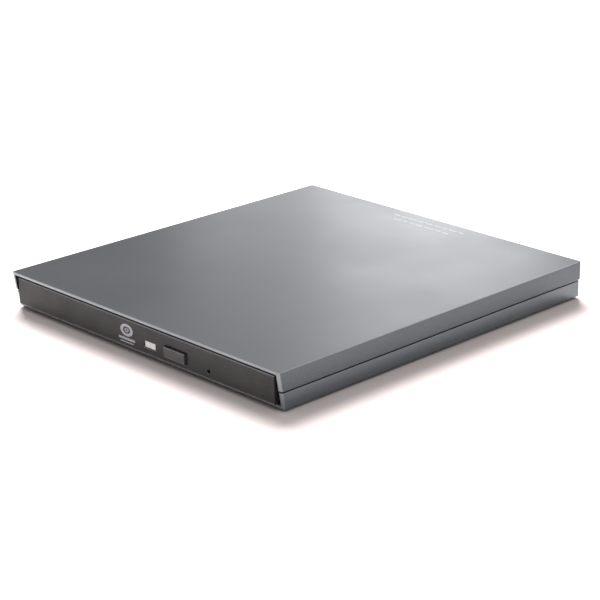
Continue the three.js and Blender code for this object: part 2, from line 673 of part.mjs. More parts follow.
upperCover();
lowerCover();
feet();
coverScrews();
driveBase();
driveLid();
railGuides();
slideRails();
latchPost();
rearBoard();
bridgeBoard();
usbSocket();
flexCable();
trayFrame();
trayBezel();
ejectButton();
lightGuide();
mainBoard();
latchLever();
solenoid();
traverseFrame();
traverseCover();
dampers();
guideShafts();
spindle();
spindleStator();
stepperAndLeadScrew();
sled();
lens();

export default device;
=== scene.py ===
"""The looks of a slim external optical drive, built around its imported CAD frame.
Metres, +Z up, front towards -Y, right towards +X. Sizes written with MM are millimetres."""
import json
import math
import random

import bmesh
import bpy
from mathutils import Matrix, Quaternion, Vector


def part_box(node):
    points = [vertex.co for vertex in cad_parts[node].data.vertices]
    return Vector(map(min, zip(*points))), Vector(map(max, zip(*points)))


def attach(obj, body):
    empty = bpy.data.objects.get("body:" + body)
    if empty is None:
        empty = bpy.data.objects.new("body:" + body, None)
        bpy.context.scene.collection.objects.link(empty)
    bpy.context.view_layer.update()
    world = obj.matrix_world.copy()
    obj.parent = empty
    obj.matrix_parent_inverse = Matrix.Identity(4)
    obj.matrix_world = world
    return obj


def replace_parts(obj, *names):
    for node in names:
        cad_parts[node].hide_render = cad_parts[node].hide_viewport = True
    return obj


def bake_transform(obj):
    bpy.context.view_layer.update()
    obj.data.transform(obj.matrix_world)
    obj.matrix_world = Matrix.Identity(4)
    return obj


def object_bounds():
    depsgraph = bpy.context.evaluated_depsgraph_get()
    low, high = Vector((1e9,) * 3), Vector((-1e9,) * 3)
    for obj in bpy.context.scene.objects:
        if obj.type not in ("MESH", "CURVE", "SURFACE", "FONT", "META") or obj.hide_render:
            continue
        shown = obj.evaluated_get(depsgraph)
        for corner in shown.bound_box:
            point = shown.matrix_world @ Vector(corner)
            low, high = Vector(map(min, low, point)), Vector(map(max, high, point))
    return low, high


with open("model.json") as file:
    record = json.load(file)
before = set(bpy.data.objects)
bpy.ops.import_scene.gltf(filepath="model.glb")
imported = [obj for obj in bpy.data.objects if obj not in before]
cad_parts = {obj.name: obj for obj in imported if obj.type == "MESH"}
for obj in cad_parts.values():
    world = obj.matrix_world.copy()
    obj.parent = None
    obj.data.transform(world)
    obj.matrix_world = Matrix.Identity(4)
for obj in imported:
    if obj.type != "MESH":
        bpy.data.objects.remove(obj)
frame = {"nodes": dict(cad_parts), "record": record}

CAD_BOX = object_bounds()
MM = 0.001
NODES = frame["nodes"]
DRAWS = random.Random(7)

# The camera looks at the middle of the case from the front right
CAMERA_AZIMUTH = 45.76
CAMERA_ELEVATION = 20.0
CAMERA_ROLL = -0.41
CAMERA_DISTANCE = 0.7023
CAMERA_LENS = 117.5
CAMERA_TARGET = Vector((0.0002, 0.0007, 0.001))
SENSOR_WIDTH = 36

# The pickup's track runs from the spindle towards the front left corner
FRONT = CAD_BOX[0].y
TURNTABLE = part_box("turntable")
HUB = (TURNTABLE[0] + TURNTABLE[1]) / 2
TRACK = Vector((-math.sqrt(0.5), -math.sqrt(0.5), 0))
ACROSS = Vector((math.sqrt(0.5), -math.sqrt(0.5), 0))

# Edges that turn by less than SMOOTH_ANGLE are shaded smooth, and those that turn by more than SHARP_ANGLE
# may be rounded
SMOOTH_ANGLE = math.radians(28)
SHARP_ANGLE = math.radians(40)
WELD_DISTANCE = 0.002 * MM
BUTTON_STANDS_OUT = 0.35


def at(x, behind, z):
    """A point given in millimetres right of the middle, behind the front edge and above the floor."""
    return Vector((x * MM, FRONT + behind * MM, z * MM))


def on_track(along, across, z):
    """A point given in millimetres along the pickup's track, across it and above the floor."""
    place = Vector((HUB.x, HUB.y, 0)) + (TRACK * along + ACROSS * across) * MM
    place.z = z * MM
    return place


def srgb(r, g, b):
    """A colour given as 0 to 255 display values, as linear values."""
    def linear(v):
        v /= 255
        return v / 12.92 if v <= 0.04045 else ((v + 0.055) / 1.055) ** 2.4
    return (linear(r), linear(g), linear(b), 1.0)


# ---------------------------------------------------------------- materials

class Finish:
    """A Principled material whose texture nodes read the piece's own coordinates."""

    def __init__(self, name, **sockets):
        self.material = bpy.data.materials.new(name)
        self.material.use_nodes = True
        self.tree = self.material.node_tree
        self.shader = self.tree.nodes["Principled BSDF"]
        self.normal = None
        for socket, value in sockets.items():
            self.shader.inputs[socket.replace("_", " ")].default_value = value
        self.place = self.tree.nodes.new("ShaderNodeTexCoord").outputs["Object"]

    def node(self, kind, links, **settings):
        """A new node with its inputs linked, and with its other inputs and properties set."""
        made = self.tree.nodes.new(kind)
        for key, value in settings.items():
            if key in made.inputs:
                made.inputs[key].default_value = value
            else:
                setattr(made, key, value)
        for socket, source in links.items():
            self.tree.links.new(source, made.inputs[socket])
        return made

    def stretched(self, scale):
        mapping = self.node("ShaderNodeMapping", {"Vector": self.place})
        mapping.inputs["Scale"].default_value = scale
        return mapping.outputs["Vector"]

    def noise(self, size, detail=2.0, roughness=0.5, stretch=(1, 1, 1)):
        """Noise whose blotches are about size metres across."""
        vector = self.stretched(stretch)
        made = self.node("ShaderNodeTexNoise", {"Vector": vector}, Scale=1 / size, Detail=detail,
                         Roughness=roughness)
        return made.outputs["Fac"]

    def cells(self, size):
        """The distance from the middle of cells that are about size metres across."""
        made = self.node("ShaderNodeTexVoronoi", {"Vector": self.place})
        made.inputs["Scale"].default_value = 1 / size
        return made.outputs["Distance"]

    def waves(self, size, direction="X", distortion=0.0):
        """Bands that repeat every size metres along a direction."""
        made = self.node("ShaderNodeTexWave", {"Vector": self.place}, bands_direction=direction)
        made.inputs["Scale"].default_value = math.pi / (10 * size)
        made.inputs["Distortion"].default_value = distortion
        return made.outputs["Fac"]

    def ramp(self, factor, *stops):
        """The colour that factor picks between stops of position and colour."""
        made = self.node("ShaderNodeValToRGB", {"Fac": factor})
        elements = made.color_ramp.elements
        elements[0].position, elements[0].color = stops[0]
        elements[1].position, elements[1].color = stops[-1]
        for position, colour in stops[1:-1]:
            elements.new(position).color = colour
        return made.outputs["Color"]

    def colour(self, factor, *stops):
        self.tree.links.new(self.ramp(factor, *stops), self.shader.inputs["Base Color"])
        return self

    def mixed(self, factor, first, second):
        made = self.node("ShaderNodeMixRGB", {"Fac": factor, "Color1": first, "Color2": second})
        return made.outputs["Color"]

    def colour_mix(self, factor, first, second):
        self.tree.links.new(self.mixed(factor, first, second), self.shader.inputs["Base Color"])
        return self

    def between(self, value, low, high):
        """Runs from 0 where value is low to 1 where it is high."""
        made = self.node("ShaderNodeMapRange", {"Value": value})
        made.inputs["From Min"].default_value = low
        made.inputs["From Max"].default_value = high
        return made.outputs["Result"]

    def facing(self):
        """The direction that the surface faces, as its X, Y and Z."""
        normal = self.node("ShaderNodeTexCoord", {}).outputs["Normal"]
        return self.node("ShaderNodeSeparateXYZ", {"Vector": normal}).outputs

    def edge(self, first, second):
        """Runs from 0 on flat faces to 1 on the bevels between faces that look along the two axes."""
        parts = self.facing()
        slant = self.node("ShaderNodeMath", {0: parts[first], 1: parts[second]}, operation="MULTIPLY")
        size = self.node("ShaderNodeMath", {0: slant.outputs[0]}, operation="ABSOLUTE")
        return self.between(size.outputs[0], 0.15, 0.35)

    def roughness(self, factor, low, high):
        """Spreads the middle of factor's range from low to high."""
        spread = self.node("ShaderNodeMapRange", {"Value": factor})
        spread.inputs["From Min"].default_value = 0.3
        spread.inputs["From Max"].default_value = 0.7
        spread.inputs["To Min"].default_value = low
        spread.inputs["To Max"].default_value = high
        self.tree.links.new(spread.outputs["Result"], self.shader.inputs["Roughness"])
        return self

    def bump(self, height, distance, strength=1.0):
        """Adds relief of distance metres to the relief so far."""
        made = self.node("ShaderNodeBump", {"Height": height})
        made.inputs["Distance"].default_value = distance
        made.inputs["Strength"].default_value = strength
        if self.normal:
            self.tree.links.new(self.normal, made.inputs["Normal"])
        self.normal = made.outputs["Normal"]
        self.tree.links.new(self.normal, self.shader.inputs["Normal"])
        return self


def shell_paint(name, top, wall_tint_with_painted_light):
    """Grey paint with an aluminium flake and a slight orange peel. Faces that look up take the top tint and
    the sides take their own, which is painted light and shade for how the light falls on them; bevels and
    faces that look forwards are painted paler as a painted highlight.
    """
    paint = Finish(name, Metallic=0.75, Roughness=0.33, Specular_IOR_Level=0.5)
    flake = paint.noise(0.35 * MM, detail=3, roughness=0.7)
    cloud = paint.noise(30 * MM, detail=2)

    def coat(tint):
        darker = srgb(*(level - 9 for level in tint))
        lighter = srgb(*(level + 11 for level in tint))
        return paint.ramp(flake, (0.3, darker), (0.5, srgb(*tint)), (0.72, lighter))

    facing = paint.facing()
    # Painted light and shade: faces that look up take the top tint and the sides their own tint, standing for
    # how the light falls on them
    body = paint.mixed(paint.between(facing["Z"], 0.6, 0.2), coat(top), coat(wall_tint_with_painted_light))
    # Painted highlight: the bevels between the sides and the top, and the faces that look forwards, are
    # painted paler, standing for the light that they catch
    pale = paint.node("ShaderNodeMath", {0: paint.between(facing["Y"], -0.3, -0.6), 1: paint.edge("X", "Z")},
                      operation="MAXIMUM")
    paint.colour_mix(pale.outputs[0], body, coat((147, 153, 159)))
    paint.roughness(cloud, 0.32, 0.38)
    paint.bump(flake, 0.004 * MM, 0.5)
    paint.bump(paint.noise(2.2 * MM, detail=1), 0.004 * MM, 0.4)
    return paint.material


def bezel_plastic():
    """Dark grey ABS with a spark-eroded texture, and a painted highlight in pale grey on the bevels between
    its front and top faces.
    """
    plastic = Finish("bezel_plastic", Roughness=0.52, Specular_IOR_Level=0.5)
    grain = plastic.noise(0.28 * MM, detail=3, roughness=0.65)
    body = plastic.ramp(grain, (0.35, srgb(29, 30, 32)), (0.65, srgb(48, 49, 51)))
    # Painted highlight: the bevels between the front and top faces take this pale grey
    rim = plastic.ramp(grain, (0.35, srgb(138, 140, 144)), (0.65, srgb(160, 162, 166)))
    plastic.colour_mix(plastic.edge("Y", "Z"), body, rim)
    plastic.roughness(plastic.noise(8 * MM), 0.46, 0.56)
    plastic.bump(grain, 0.02 * MM, 0.7)
    return plastic.material


def black_plastic():
    """Black moulded plastic with a light grain and faint flow marks."""
    plastic = Finish("black_plastic", Roughness=0.45)
    grain = plastic.noise(0.4 * MM, detail=2)
    plastic.colour(plastic.noise(22 * MM, detail=2), (0.3, srgb(22, 22, 24)), (0.7, srgb(30, 30, 32)))
    plastic.roughness(plastic.noise(5 * MM, detail=3), 0.4, 0.55)
    plastic.bump(grain, 0.012 * MM, 0.5)
    return plastic.material


def hub_plastic():
    """Glass-filled black plastic of the turntable and lens holder."""
    plastic = Finish("hub_plastic", Roughness=0.5)
    fibre = plastic.noise(0.25 * MM, detail=2, stretch=(1, 0.2, 1))
    plastic.colour(fibre, (0.3, srgb(20, 21, 24)), (0.75, srgb(42, 43, 46)))
    plastic.bump(fibre, 0.01 * MM, 0.5)
    return plastic.material


def chip_epoxy():
    """Matt moulded epoxy."""
    epoxy = Finish("chip_epoxy", Roughness=0.6)
    speck = epoxy.noise(0.15 * MM, detail=3)
    epoxy.colour(speck, (0.35, srgb(24, 25, 27)), (0.65, srgb(38, 39, 42)))
    epoxy.bump(speck, 0.008 * MM, 0.5)
    return epoxy.material


def clear_plastic():
    """Milky translucent light guide."""
    guide = Finish("clear_plastic", Roughness=0.25, Subsurface_Weight=0.4, Subsurface_Scale=1 * MM)
    guide.colour(guide.noise(1.5 * MM, detail=2), (0.3, srgb(242, 245, 250)), (0.7, srgb(251, 253, 255)))
    guide.bump(guide.noise(0.6 * MM), 0.005 * MM, 0.4)
    return guide.material


def sheet_steel():
    """Rolled zinc-plated sheet: fine lines along the rolling direction over a soft spangle."""
    steel = Finish("sheet_steel", Metallic=1.0, Roughness=0.34)
    lines = steel.noise(0.3 * MM, detail=3, stretch=(1, 0.03, 1))
    spangle = steel.noise(6 * MM, detail=3)
    steel.colour(spangle, (0.3, srgb(172, 174, 177)), (0.7, srgb(196, 198, 200)))
    steel.roughness(lines, 0.27, 0.42)
    steel.bump(lines, 0.004 * MM, 0.5)
    return steel.material


def bright_steel():
    """Ground and polished steel of shafts, balls and screws."""
    steel = Finish("bright_steel", Metallic=1.0, Roughness=0.16)
    marks = steel.noise(0.2 * MM, detail=2, stretch=(1, 1, 0.1))
    steel.colour(steel.noise(3 * MM), (0.3, srgb(205, 207, 210)), (0.7, srgb(222, 223, 225)))
    steel.roughness(marks, 0.12, 0.24)
    steel.bump(marks, 0.0015 * MM, 0.4)
    return steel.material


def rubber():
    """Matt black rubber with a dusty bloom."""
    skin = Finish("rubber", Roughness=0.8, Sheen_Weight=0.15)
    bloom = skin.noise(3 * MM, detail=4)
    skin.colour(bloom, (0.35, srgb(26, 26, 27)), (0.7, srgb(40, 40, 41)))
    skin.bump(skin.noise(0.2 * MM, detail=2), 0.015 * MM, 0.6)
    return skin.material


def board():
    """Green solder mask over copper tracks that run along the board, with a pour between them."""
    mask = Finish("board", Roughness=0.3, Coat_Weight=0.3, Coat_Roughness=0.2)
    tracks = mask.waves(0.9 * MM, direction="Y", distortion=2.5)
    pour = mask.cells(7 * MM)
    mixed = mask.node("ShaderNodeMath", {0: tracks, 1: pour}, operation="MULTIPLY").outputs[0]
    mask.colour(mixed, (0.0, srgb(12, 62, 38)), (0.3, srgb(15, 78, 46)), (0.42, srgb(22, 104, 62)))
    mask.bump(tracks, 0.02 * MM, 0.5)
    return mask.material


def ribbon():
    """White polyester ribbon over flat tinned conductors."""
    film = Finish("ribbon", Roughness=0.35, Coat_Weight=0.2, Coat_Roughness=0.3)
    conductors = film.waves(0.5 * MM)
    film.colour(conductors, (0.35, srgb(196, 197, 194)), (0.65, srgb(226, 226, 220)))
    film.bump(conductors, 0.02 * MM, 0.6)
    return film.material


def cast_alloy():
    """Die-cast alloy with a grainy skin."""
    alloy = Finish("cast_alloy", Metallic=0.9, Roughness=0.45)
    grain = alloy.noise(0.5 * MM, detail=4, roughness=0.6)
    alloy.colour(alloy.noise(5 * MM, detail=3), (0.3, srgb(120, 122, 125)), (0.7, srgb(150, 152, 154)))
    alloy.roughness(grain, 0.36, 0.55)
    alloy.bump(grain, 0.02 * MM, 0.6)
    return alloy.material


def lens_glass():
    """Coated aspheric lens: blue-violet, dark over the barrel where it faces the viewer and paler towards its
    edge as seen, which is a painted reflection.
    """
    glass = Finish("lens_glass", Roughness=0.04, Specular_IOR_Level=0.8, Coat_Weight=1.0,
                   Coat_Roughness=0.02)
    painted_reflection_by_view = glass.node("ShaderNodeLayerWeight", {}, Blend=0.45).outputs["Facing"]
    # Painted reflection: the colour pales where the lens is seen at a slant
    glass.colour(painted_reflection_by_view, (0.0, srgb(34, 40, 92)), (0.5, srgb(70, 88, 170)), (1.0, srgb(150, 170, 215)))
    glass.bump(glass.noise(0.8 * MM), 0.001 * MM, 0.3)
    return glass.material


def gold():
    """Flash-gold contact pads."""
    metal = Finish("gold", Metallic=1.0, Roughness=0.28)
    wear = metal.noise(0.4 * MM, detail=3)
    metal.colour(wear, (0.3, srgb(208, 170, 92)), (0.7, srgb(236, 204, 128)))
    metal.bump(wear, 0.003 * MM, 0.4)
    return metal.material


def copper_wire():
    """Enamelled copper windings."""
    wire = Finish("copper_wire", Metallic=1.0, Roughness=0.35)
    turns = wire.waves(0.12 * MM, direction="Z")
    wire.colour(turns, (0.2, srgb(120, 58, 30)), (0.8, srgb(204, 122, 72)))
    wire.bump(turns, 0.03 * MM, 0.8)
    return wire.material


def button_plastic():
    """The bezel's plastic on the button, smoother where fingers polish it, with a painted highlight in pale
    grey on the bevels between its front and top faces.
    """
    plastic = Finish("button_plastic", Roughness=0.42)
    grain = plastic.noise(0.28 * MM, detail=3, roughness=0.65)
    body = plastic.ramp(grain, (0.35, srgb(52, 54, 57)), (0.65, srgb(78, 80, 83)))
    # Painted highlight: the bevels between the front and top faces take this pale grey
    rim = plastic.ramp(grain, (0.35, srgb(138, 140, 144)), (0.65, srgb(160, 162, 166)))
    plastic.colour_mix(plastic.edge("Y", "Z"), body, rim)
    plastic.roughness(plastic.noise(3 * MM), 0.36, 0.5)
    plastic.bump(grain, 0.012 * MM, 0.6)
    return plastic.material


def ivory_plastic():
    """Ivory nylon of ribbon connectors."""
    nylon = Finish("ivory_plastic", Roughness=0.5, Subsurface_Weight=0.1, Subsurface_Scale=0.5 * MM)
    grain = nylon.noise(0.5 * MM, detail=3)
    nylon.colour(grain, (0.3, srgb(205, 199, 180)), (0.7, srgb(224, 219, 202)))
    nylon.bump(grain, 0.01 * MM, 0.5)
    return nylon.material


def ink(name, light, dark, metallic=0.0):
    """Thin printed ink that shows the surface's grain."""
    printed = Finish(name, Roughness=0.5, Metallic=metallic)
    thin = printed.noise(0.3 * MM, detail=3)
    printed.colour(thin, (0.3, srgb(*dark)), (0.7, srgb(*light)))
    printed.bump(thin, 0.004 * MM, 0.4)
    return printed.material


def label_film():
    """Matt silvery label film with faint waves."""
    film = Finish("label_film", Roughness=0.4, Metallic=0.3)
    film.colour(film.noise(4 * MM, detail=3), (0.3, srgb(176, 178, 180)), (0.7, srgb(190, 192, 194)))
    film.bump(film.noise(9 * MM), 0.03 * MM, 0.3)
    return film.material


MATERIALS = {
    # Painted shade darkens the upper shell's sides and painted light brightens the lower shell's sides,
    # against the tint of the tops
    "shell_paint": shell_paint("shell_paint", (105, 108, 113), (97, 103, 109)),
    "lower_shell_paint_with_painted_wall_light": shell_paint("lower_shell_paint_with_painted_wall_light", (105, 108, 113), (115, 122, 128)),
    "bezel_plastic": bezel_plastic(), "black_plastic": black_plastic(),
    "hub_plastic": hub_plastic(), "chip_epoxy": chip_epoxy(), "clear_plastic": clear_plastic(),
    "sheet_steel": sheet_steel(), "bright_steel": bright_steel(), "rubber": rubber(), "board": board(),
    "ribbon": ribbon(), "cast_alloy": cast_alloy(), "lens_glass": lens_glass(), "gold": gold(),
    "copper_wire": copper_wire(), "button_plastic": button_plastic(), "ivory_plastic": ivory_plastic(),
    "label_film": label_film(), "pale_print": ink("pale_print", (188, 190, 198), (166, 168, 176)),
    "silver_print": ink("silver_print", (176, 178, 182), (156, 158, 162), metallic=0.5),
    "dark_print": ink("dark_print", (92, 93, 96), (74, 75, 78)),
}

# The finish of a material slot and of a CAD node, where it isn't the one with the slot's name
SLOT_MATERIAL = {"flex": "ribbon"}
NODE_MATERIAL = {"lower_cover": "lower_shell_paint_with_painted_wall_light", "turntable": "hub_plastic", "lens_holder": "hub_plastic",
                 "flex_connector": "ivory_plastic", "spindle_stator": "copper_wire"}

# How far the edges of a CAD node are rounded, in millimetres
BEVELS = {"tray_bezel": 0.18, "tray_frame": 0.15, "traverse_frame": 0.2, "sled": 0.25, "main_board": 0.05,
          "traverse_cover": 0.06, "controller_chip": 0.08, "flex_connector": 0.1, "usb_socket": 0.06,
          "latch_lever": 0.12, "solenoid": 0.15, "lens_holder": 0.15, "eject_switch": 0.08}


def smoothing_group():
    """Shades an object smooth, and keeps the edges that turn by more than SMOOTH_ANGLE."""
    group = bpy.data.node_groups.new("smooth_by_angle", "GeometryNodeTree")
    group.interface.new_socket("Geometry", in_out="INPUT", socket_type="NodeSocketGeometry")
    group.interface.new_socket("Geometry", in_out="OUTPUT", socket_type="NodeSocketGeometry")
    nodes, links = group.nodes, group.links
    faces = nodes.new("GeometryNodeSetShadeSmooth")
    edges = nodes.new("GeometryNodeSetShadeSmooth")
    edges.domain = "EDGE"
    edges.inputs["Shade Smooth"].default_value = False
    angle = nodes.new("GeometryNodeInputMeshEdgeAngle")
    sharp = nodes.new("FunctionNodeCompare")
    sharp.operation = "GREATER_THAN"
    sharp.inputs[1].default_value = SMOOTH_ANGLE
    links.new(angle.outputs["Unsigned Angle"], sharp.inputs[0])
    links.new(sharp.outputs[0], edges.inputs["Selection"])
    links.new(nodes.new("NodeGroupInput").outputs[0], faces.inputs["Geometry"])
    links.new(faces.outputs["Geometry"], edges.inputs["Geometry"])
    links.new(edges.outputs["Geometry"], nodes.new("NodeGroupOutput").inputs[0])
    return group


SMOOTHING = smoothing_group()


def soften(obj, bevel=0.0):
    """Joins an object's faces, rounds its sharp edges by bevel millimetres, and shades it smooth."""
    weld = obj.modifiers.new("weld", "WELD")
    weld.merge_threshold = WELD_DISTANCE
    if bevel:
        rounding = obj.modifiers.new("rounding", "BEVEL")
        rounding.width = bevel * MM
        rounding.segments = 2
        rounding.angle_limit = SHARP_ANGLE
    obj.modifiers.new("shading", "NODES").node_group = SMOOTHING
    weighted = obj.modifiers.new("weighted", "WEIGHTED_NORMAL")
    weighted.keep_sharp = True


def dress_cad_nodes():
    """Gives each CAD node its finish, and drops the faceted normals it was packed with."""
    for row in frame["record"]["subparts"]:
        slot = row["material_slot"]
        node = NODES[row["node"]]
        material = NODE_MATERIAL.get(row["node"], SLOT_MATERIAL.get(slot, slot))
        node.data.materials.clear()
        node.data.materials.append(MATERIALS[material])
        for flag in ("custom_normal", "sharp_face", "sharp_edge"):
            if flag in node.data.attributes:
                node.data.attributes.remove(node.data.attributes[flag])
        soften(node, BEVELS.get(row["node"], 0.0))


# ---------------------------------------------------------------- pieces

def piece(name, mesh, material, body):
    """A new named piece from a bmesh, shaded like the CAD nodes, that rides on a body."""
    data = bpy.data.meshes.new(name)
    bmesh.ops.recalc_face_normals(mesh, faces=mesh.faces)
    mesh.to_mesh(data)
    mesh.free()
    made = bpy.data.objects.new(name, data)
    bpy.context.scene.collection.objects.link(made)
    data.materials.append(MATERIALS[material])
    soften(made)
    if body:
        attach(made, body)
    return made


def add_block(mesh, low, high, bevel=0.0):
    """A box between two corners, with its edges rounded by bevel millimetres."""
    size = high - low
    made = bmesh.ops.create_cube(mesh, size=1)["verts"]
    for vert in made:
        vert.co = Vector(low[i] + size[i] * (vert.co[i] + 0.5) for i in range(3))
    if bevel:
        edges = list({edge for vert in made for edge in vert.link_edges})
        bmesh.ops.bevel(mesh, geom=edges, offset=bevel * MM, segments=2, profile=0.5, affect="EDGES")


def add_turned(mesh, profile, centre, sides=64):
    """A closed profile of radius and height in millimetres, turned about an upright axis."""
    rings = []
    for radius, height in profile:
        steps = range(sides) if radius else range(1)
        ring = []
        for step in steps:
            angle = 2 * math.pi * step / sides
            offset = Vector((radius * math.cos(angle), radius * math.sin(angle), height)) * MM
            ring.append(mesh.verts.new(Vector((centre.x, centre.y, 0)) + offset))
        rings.append(ring)
    for first, second in zip(rings, rings[1:]):
        for step in range(sides):
            after = (step + 1) % sides
            corners = [first[step % len(first)], first[after % len(first)],
                       second[after % len(second)], second[step % len(second)]]
            mesh.faces.new(dict.fromkeys(corners))


def rounded_slab(mesh, low, high, corner, bevel):
    """A slab that faces forwards, with rounded corners and a softly rounded face."""
    size = high - low
    verts = bmesh.ops.create_cube(mesh, size=1)["verts"]
    for vert in verts:
        vert.co = Vector(low[i] + size[i] * (vert.co[i] + 0.5) for i in range(3))
    edges = {edge for vert in verts for edge in vert.link_edges}
    depthways = [edge for edge in edges if abs(edge.verts[0].co.y - edge.verts[1].co.y) > size.y / 2]
    bmesh.ops.bevel(mesh, geom=depthways, offset=corner * MM, segments=6, profile=0.5, affect="EDGES")
    face = [edge for edge in mesh.edges if all(abs(vert.co.y - low.y) < 1e-6 for vert in edge.verts)]
    bmesh.ops.bevel(mesh, geom=face, offset=bevel * MM, segments=4, profile=0.5, affect="EDGES")


def button():
    """The button's rounded cap, which stands out of the panel, and its stem."""
    cap_depth, corner, rounding = 2, 0.5, 0.28
    stem_half_width, stem_half_height, overlap = 1.25 * MM, 0.7 * MM, 0.1 * MM
    low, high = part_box("eject_button")
    middle = (low + high) / 2
    cap_low = Vector((low.x, at(0, -BUTTON_STANDS_OUT, 0).y, low.z))
    cap_high = Vector((high.x, at(0, cap_depth, 0).y, high.z))
    mesh = bmesh.new()
    rounded_slab(mesh, cap_low, cap_high, corner, rounding)
    add_block(mesh, Vector((middle.x - stem_half_width, cap_high.y - overlap, middle.z - stem_half_height)),
              Vector((middle.x + stem_half_width, high.y, middle.z + stem_half_height)))
    made = piece("eject_button_cap", mesh, "button_plastic", "eject_button")
    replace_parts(made, "eject_button")


def pictogram():
    """A plain disc and two bars, pad-printed on the front panel."""
    middle_x, middle_z, widening = -5.9, 8.2, 1.5
    sunk, film, sides = 0.012, 0.03, 48
    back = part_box("tray_bezel")[0].y + sunk * MM
    front = back - film * MM
    mesh = bmesh.new()
    for outer, inner in ((2.15, 1.25), (0.7, 0.35)):
        ring = []
        for step in range(sides):
            angle = 2 * math.pi * step / sides
            for radius in (outer, inner):
                x = middle_x * MM + widening * radius * MM * math.cos(angle)
                ring.append(mesh.verts.new((x, front, middle_z * MM + radius * MM * math.sin(angle))))
        for step in range(sides):
            near, far = 2 * step, (2 * step + 2) % (2 * sides)
            mesh.faces.new((ring[near], ring[far], ring[far + 1], ring[near + 1]))
    for left, right, bottom, top in ((-10.1, -1.7, 4.7, 5.5), (-9.3, -2.5, 3.7, 4.1)):
        add_block(mesh, Vector((left * MM, front, bottom * MM)), Vector((right * MM, back, top * MM)))
    piece("front_pictogram", mesh, "pale_print", "tray")


def lid_dashes():
    """Two rows of plain dashes near the back of the lid."""
    half_tall, gap, shortest, longest = 0.45, 0.8, 2.2, 5.5
    least_room, sunk, film = 1.5, 0.001, 0.02
    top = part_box("upper_cover")[1].z
    mesh = bmesh.new()
    for behind, left, right in ((143.9, -17.5, 17.8), (139.8, -13.7, 14.2)):
        x = left
        while x < right - least_room:
            length = min(DRAWS.uniform(shortest, longest), right - x)
            low = at(x, behind - half_tall, 0)
            high = at(x + length, behind + half_tall, 0)
            low.z, high.z = top - sunk * MM, top + film * MM
            add_block(mesh, low, high)
            x += length + gap
    piece("lid_dashes", mesh, "silver_print", "chassis")


def foot_pads():
    """Round rubber feet with a shallow dish underneath."""
    profile = [(0, 0.18), (2.6, 0.18), (2.9, 0.0), (4.55, 0.0), (4.85, 0.1), (5.0, 0.4), (5.0, 1.1), (0, 1.1)]
    for name in ("front_left", "front_right", "rear_left", "rear_right"):
        low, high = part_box("foot_" + name)
        mesh = bmesh.new()
        add_turned(mesh, profile, (low + high) / 2)
        made = piece("foot_pad_" + name, mesh, "rubber", "chassis")
        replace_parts(made, "foot_" + name)


def bottom_label():
    """A blank rating plate with plain grey bars, stuck under the case."""
    half_width, front, back, film = 23, 62, 90, 0.06
    bar_left, first_bar, spacing, bar_tall = -20, 66, 4, 1.3
    ink_low, ink_high = 0.08, 0.05
    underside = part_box("lower_cover")[0].z
    low, high = at(-half_width, front, 0), at(half_width, back, 0)
    low.z, high.z = underside - film * MM, underside
    mesh = bmesh.new()
    add_block(mesh, low, high)
    piece("rating_label", mesh, "label_film", "chassis")
    bars = bmesh.new()
    for row in range(6):
        behind = first_bar + spacing * row
        low = at(bar_left, behind, 0)
        high = at(bar_left + DRAWS.uniform(20, 38), behind + bar_tall, 0)
        low.z, high.z = underside - ink_low * MM, underside - ink_high * MM
        add_block(bars, low, high)
    piece("rating_bars", bars, "dark_print", "chassis")


def ribbon_leaf(name, points):
    """One leaf of the ribbon through points of distance behind the front and height, in millimetres."""
    row_spacing, columns, thickness = 2, 20, 0.11
    low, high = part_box("flex_cable")
    mesh = bmesh.new()
    rows = []
    for (behind, z), (behind_next, z_next) in zip(points, points[1:]):
        steps = max(1, round(abs(behind_next - behind) / row_spacing))
        for step in range(steps):
            share = step / steps
            rows.append((behind + (behind_next - behind) * share, z + (z_next - z) * share))
    rows.append(points[-1])
    across = [low.x + (high.x - low.x) * step / columns for step in range(columns + 1)]
    grid = [[mesh.verts.new((x, at(0, behind, 0).y, z * MM)) for x in across] for behind, z in rows]
    for row, after in zip(grid, grid[1:]):
        for step in range(columns):
            mesh.faces.new((row[step], row[step + 1], after[step + 1], after[step]))
    made = piece(name, mesh, "ribbon", None)
    made.modifiers.clear()
    thick = bmesh.new()
    thick.from_mesh(made.data)
    bmesh.ops.solidify(thick, geom=thick.faces[:], thickness=thickness * MM)
    bmesh.ops.recalc_face_normals(thick, faces=thick.faces)
    thick.to_mesh(made.data)
    thick.free()
    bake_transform(made)
    return made


def ribbon_cable():
    """The folded ribbon between the rear board and the tray, which rides on no body here; on the drive its
    fold travels half as far as the tray.
    """
    fold, low, high = 26, 2.95, 3.4
    rear_end, tray_bend, tray_end, tray_height = 119.7, 88, 99.7, 6.24
    half = (high - low) / 2
    angles = [step * math.pi / 12 for step in range(7)]
    lower_turn = [(fold - half * math.sin(angle), low + half * (1 - math.cos(angle))) for angle in angles]
    upper_turn = [(fold - half * math.cos(angle), low + half + half * math.sin(angle)) for angle in angles]
    lower = ribbon_leaf("ribbon_lower", [(rear_end, low)] + lower_turn)
    ribbon_leaf("ribbon_upper", upper_turn + [(tray_bend, high), (tray_end, tray_height)])
    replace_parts(lower, "flex_cable")


def lens_and_ring():
    """The objective lens as a dome, and the black ring that it sits in."""
    radius, dome_base, dome_tall = 2.0, 7.55, 0.62
    low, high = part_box("objective_lens")
    centre = (low + high) / 2
    angles = [step * math.pi / 24 for step in range(13)]
    dome = [(radius * math.sin(angle), dome_base + dome_tall * math.cos(angle)) for angle in angles]
    mesh = bmesh.new()
    add_turned(mesh, dome + [(2.05, 7.4), (1.9, 7.15), (0, 6.95)], centre)
    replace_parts(piece("lens_dome", mesh, "lens_glass", "lens"), "objective_lens")
    profile = [(2.06, 7.5), (2.6, 7.5), (2.6, 7.78), (2.45, 7.86), (2.15, 7.86), (2.06, 7.7), (2.06, 7.5)]
    rim = bmesh.new()
    add_turned(rim, profile, centre)
    piece("lens_rim", rim, "hub_plastic", "lens")


